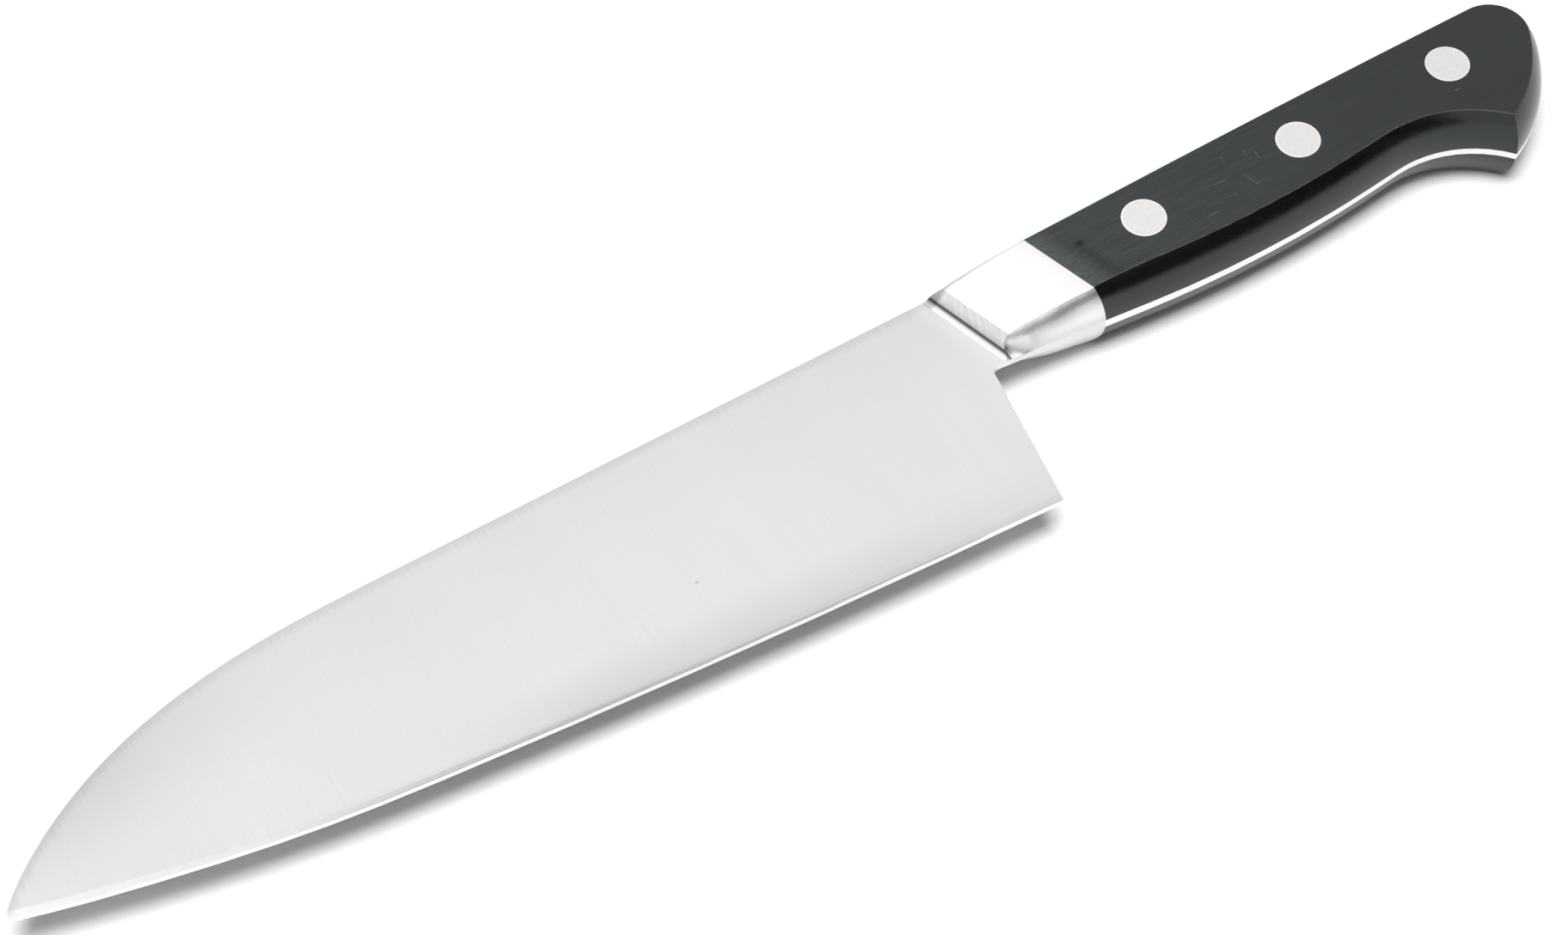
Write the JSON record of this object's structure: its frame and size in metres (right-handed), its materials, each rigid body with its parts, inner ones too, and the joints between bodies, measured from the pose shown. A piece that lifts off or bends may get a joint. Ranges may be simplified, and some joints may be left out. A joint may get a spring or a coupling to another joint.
{
  "type": "chef knife",
  "caption": "Santoku-pattern kitchen knife with a broad flat-ground steel blade, steel bolster and riveted full-tang handle with black scales.",
  "frame": {"origin": "centre of the knife's bounding box in plan, at the level that the flat right face of the handle lies on", "axes": "knife lying on its right side: +X from tip to butt, +Y from cutting edge to spine, +Z out of the left side"},
  "size_m": [0.303, 0.0474, 0.0166],
  "materials": {
    "blade_steel": "fine satin, brushed across the blade; polished cutting bevel",
    "bolster_steel": "fine satin",
    "handle_scale": "black resin-impregnated laminated wood, satin, fine lengthwise grain",
    "rivet_steel": "ground flush, satin"
  },
  "bodies": {
    "root": {"blade_and_tang": "blade_steel", "bolster_left": "bolster_steel", "bolster_right": "bolster_steel", "scale_left": "handle_scale", "scale_right": "handle_scale", "front_rivet_post": "rivet_steel", "front_rivet_socket": "rivet_steel", "middle_rivet_post": "rivet_steel", "middle_rivet_socket": "rivet_steel", "rear_rivet_post": "rivet_steel", "rear_rivet_socket": "rivet_steel"}
  },
  "joints": []
}
